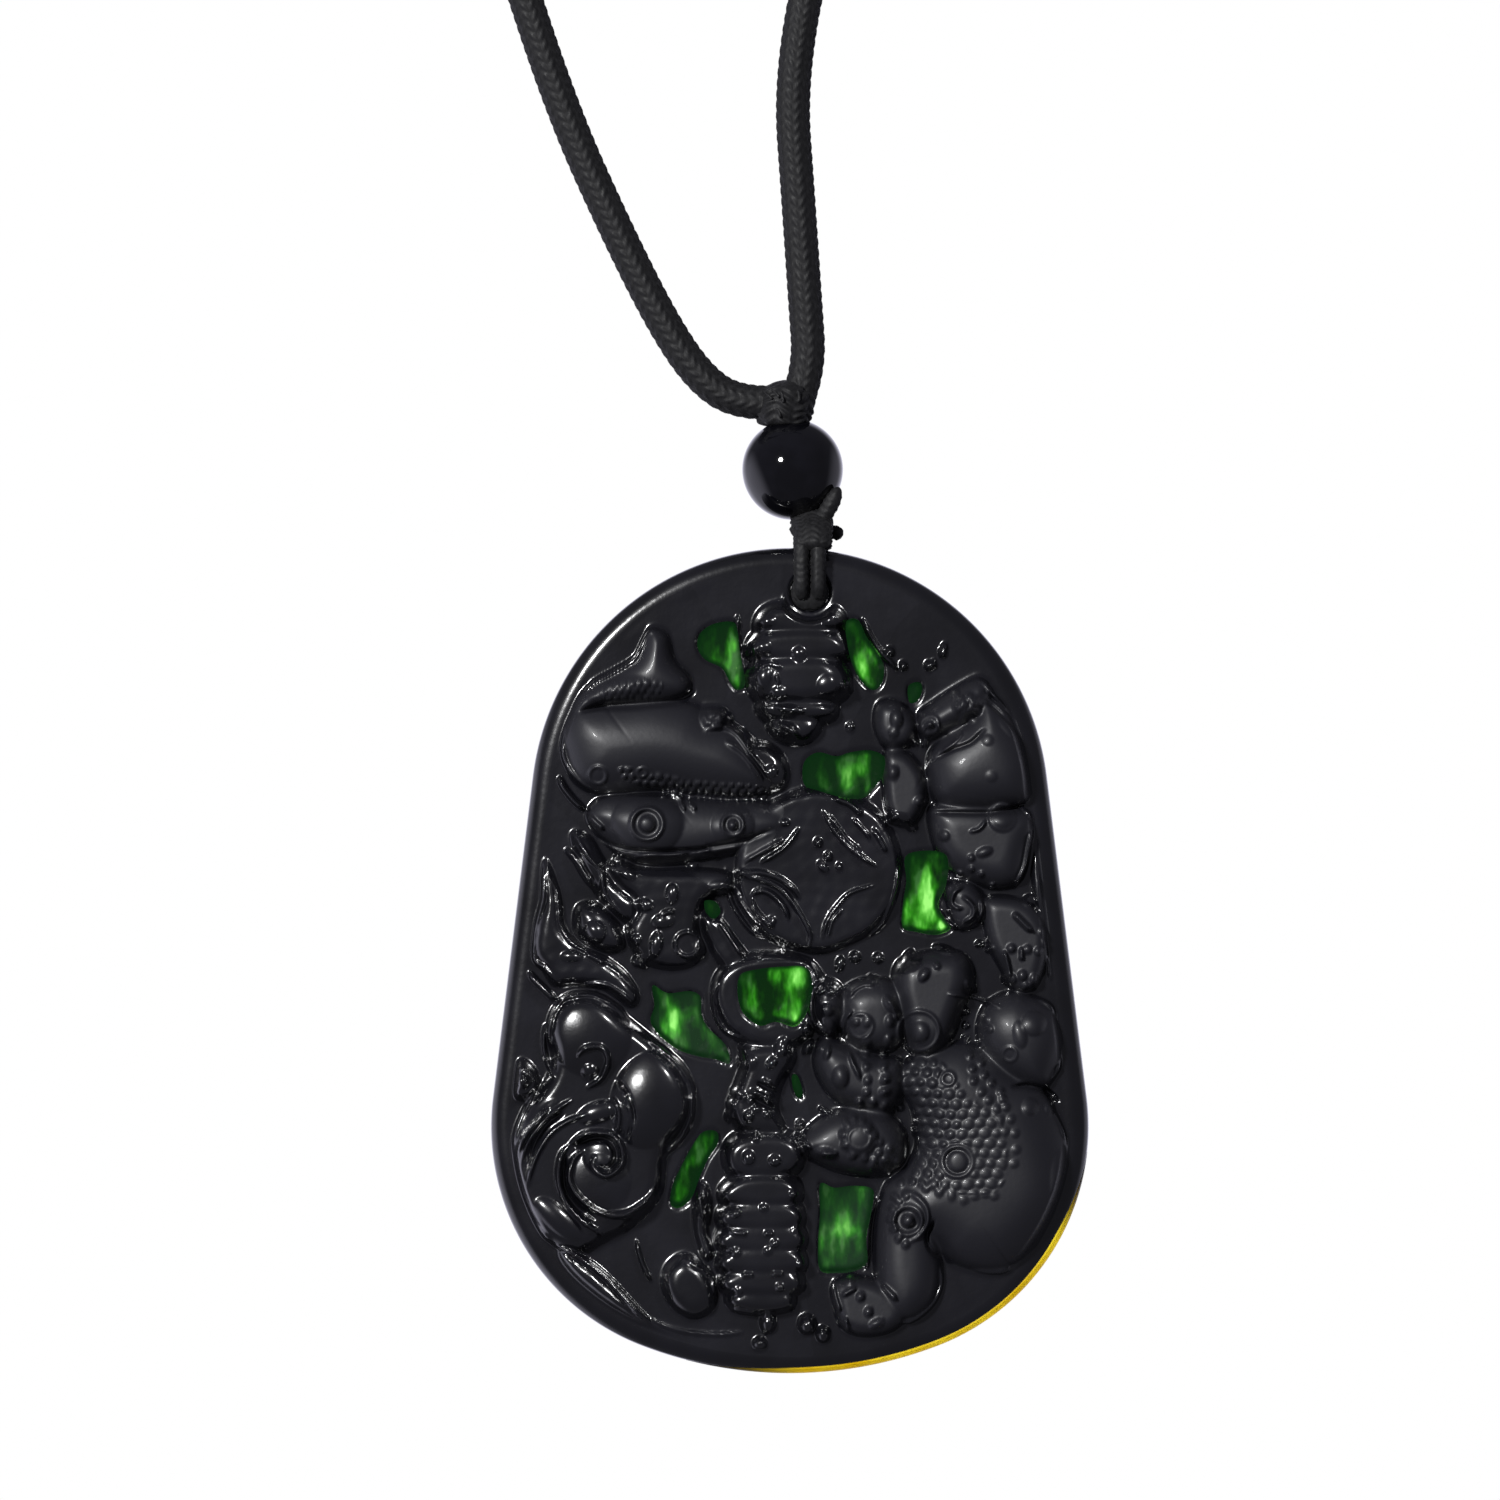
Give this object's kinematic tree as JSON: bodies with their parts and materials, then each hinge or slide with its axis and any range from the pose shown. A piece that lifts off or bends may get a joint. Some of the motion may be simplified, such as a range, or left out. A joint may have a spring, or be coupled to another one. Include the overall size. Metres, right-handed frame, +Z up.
{
  "type": "carved pendant necklace",
  "caption": "Rounded stone plaque carved in relief with toads, coins and clouds, hung with a round bead on a braided cord loop.",
  "frame": {"origin": "inner side of the cord loop at its top, where it rests on the back of the neck", "axes": "+X to the right of the carved face, -Y the way the carving looks, +Z up along the hanging necklace"},
  "size_m": [0.1202, 0.0092, 0.3445],
  "materials": {
    "jade": "polished very dark green jade",
    "bead_stone": "polished black stone",
    "cord": "braided black cord"
  },
  "bodies": {
    "cord": {"neck_cord_left": "cord", "neck_cord_right": "cord", "binding": "cord", "bead": "bead_stone", "hanging_cord": "cord"},
    "pendant": {"plaque": "jade"}
  },
  "joints": [
    {"name": "pendant_swing", "type": "hinge", "parent": "cord", "child": "pendant", "pos_m": [0.0014, 0, -0.2871], "axis": [0, 1, 0], "range_deg": [-20, 20]}
  ]
}
